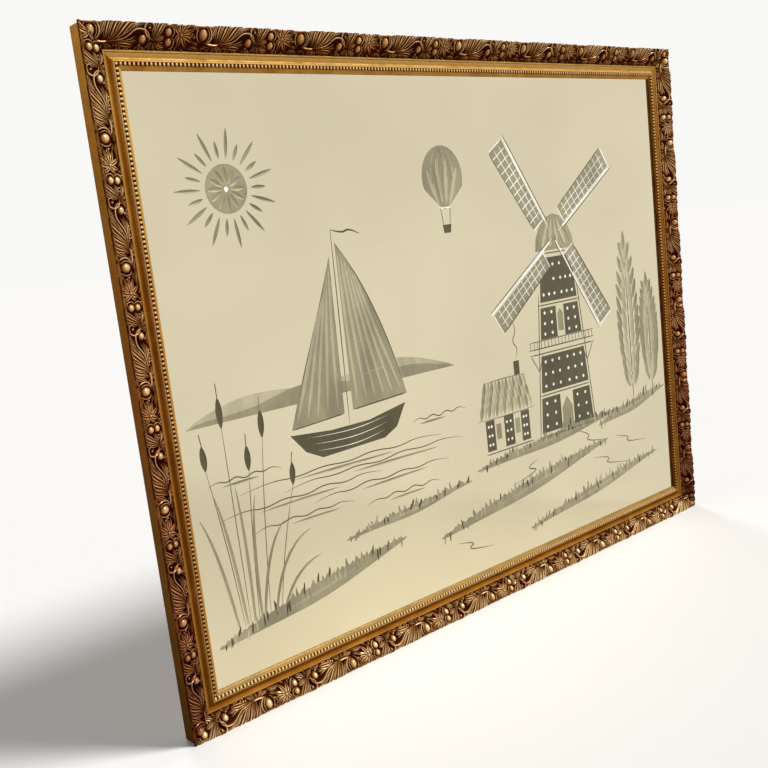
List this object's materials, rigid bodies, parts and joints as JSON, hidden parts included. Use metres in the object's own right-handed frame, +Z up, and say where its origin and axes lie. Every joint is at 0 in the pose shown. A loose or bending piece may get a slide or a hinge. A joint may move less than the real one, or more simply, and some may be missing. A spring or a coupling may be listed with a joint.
{
  "type": "engraved mirror",
  "caption": "Rectangular wall mirror with an engraved landscape plate in a gilded moulding of acanthus leaves and berries, with a board back and folding hanging rings.",
  "frame": {"origin": "on the wall plane, midway between the pivots of the two hanging rings", "axes": "+X to the viewer's right along the width, +Y from the mirror's face towards the wall, +Z up; the mirror faces -Y"},
  "size_m": [0.9994, 0.0329, 0.7614],
  "materials": {
    "gilt_wood": "aged gold over wood",
    "antiqued_ornament": "gold with a dark antique wash in the hollows",
    "gilt_pearls": "pale gold",
    "silvered_glass": "silvered plate with a cut and frosted picture",
    "cork": "raw cork",
    "card": "grey card",
    "hardboard": "brown hardboard",
    "plain_steel": "plain steel",
    "plated_steel": "bright plated steel",
    "bumper_rubber": "soft dark rubber"
  },
  "bodies": {
    "frame": {"rail_top": "gilt_wood", "rail_bottom": "gilt_wood", "rail_left": "gilt_wood", "rail_right": "gilt_wood", "ornament_top": "antiqued_ornament", "ornament_bottom": "antiqued_ornament", "ornament_left": "antiqued_ornament", "ornament_right": "antiqued_ornament", "pearl_strip_top": "gilt_pearls", "pearl_strip_bottom": "gilt_pearls", "pearl_strip_left": "gilt_pearls", "pearl_strip_right": "gilt_pearls", "mirror_glass": "silvered_glass", "glass_packers": "cork", "cushion_sheet": "card", "backing_board": "hardboard", "board_tabs_top": "plain_steel", "board_tabs_bottom": "plain_steel", "board_tabs_left": "plain_steel", "board_tabs_right": "plain_steel", "mitre_nails_top_left": "plain_steel", "mitre_nails_top_right": "plain_steel", "mitre_nails_bottom_left": "plain_steel", "mitre_nails_bottom_right": "plain_steel", "hanger_strap_left": "plated_steel", "hanger_strap_right": "plated_steel", "hanger_screws_left": "plated_steel", "hanger_screws_right": "plated_steel", "wall_bumper_left": "bumper_rubber", "wall_bumper_right": "bumper_rubber", "bumper_pin_left": "plain_steel", "bumper_pin_right": "plain_steel"},
    "left_ring": {"d_ring_left": "plated_steel"},
    "right_ring": {"d_ring_right": "plated_steel"}
  },
  "joints": [
    {"name": "left_ring_hinge", "type": "hinge", "parent": "frame", "child": "left_ring", "pos_m": [-0.46727, -0.00315, 0], "axis": [0, 0, 1], "range_deg": [0, 180]},
    {"name": "right_ring_hinge", "type": "hinge", "parent": "frame", "child": "right_ring", "pos_m": [0.46727, -0.00315, 0], "axis": [0, 0, -1], "range_deg": [0, 180]}
  ]
}
